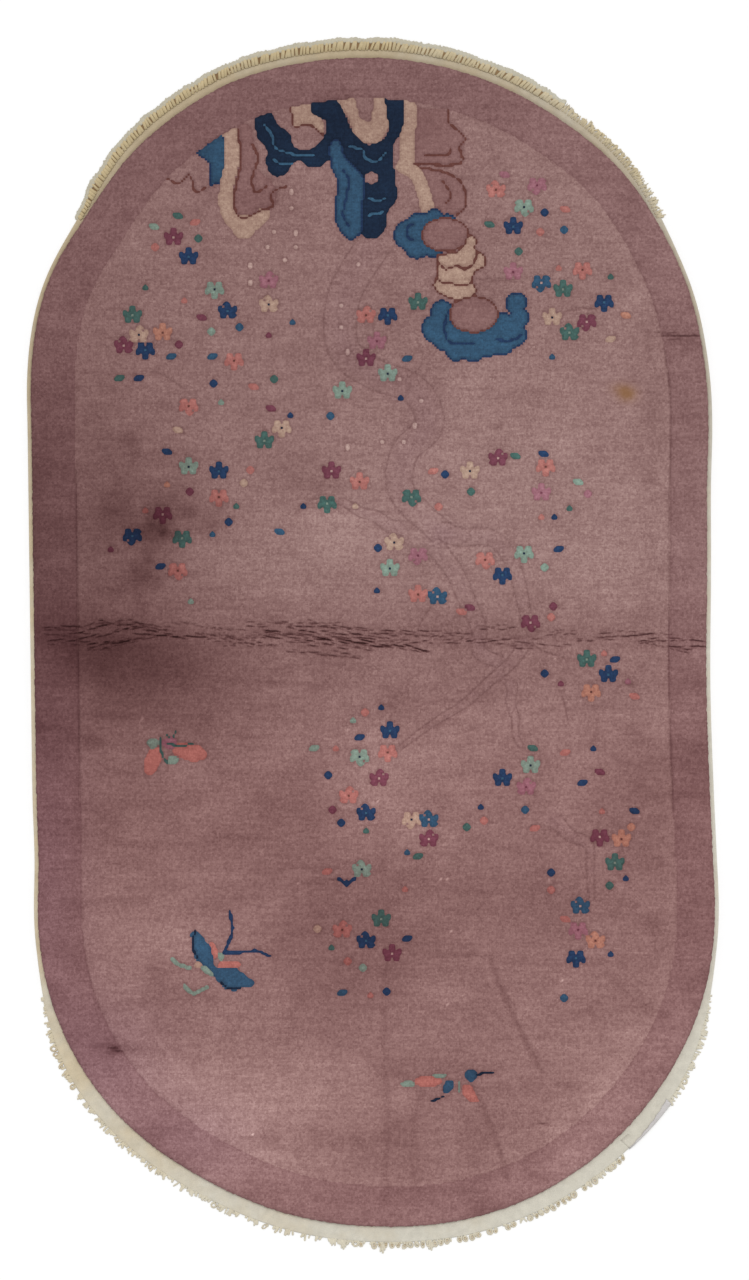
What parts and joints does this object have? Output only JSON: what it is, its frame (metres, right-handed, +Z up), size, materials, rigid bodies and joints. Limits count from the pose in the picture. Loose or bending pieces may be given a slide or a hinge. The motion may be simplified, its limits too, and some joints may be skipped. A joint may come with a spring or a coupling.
{
  "type": "oval hand-knotted wool rug",
  "caption": "Oval hand-knotted wool rug with a rock, blossom branches and butterflies on a plum ground, a bare cotton web round its edge and short knotted ends at head and foot.",
  "frame": {"origin": "middle of the underside's outline, on the floor", "axes": "+Y along the rug towards the head of the design, where the rock is; +X to the right seen from above; +Z up out of the pile"},
  "size_m": [1.2156, 2.1378, 0.012],
  "materials": {
    "wool_pile": "cut wool pile, plum ground with navy, blue, cream, coral, sage, teal and plum figures",
    "cotton_warp": "undyed cotton, aged cream, plain weave and knotted ends"
  },
  "bodies": {
    "root": {"carpet": "wool_pile", "fringe_head": "cotton_warp", "fringe_foot": "cotton_warp"}
  },
  "joints": []
}
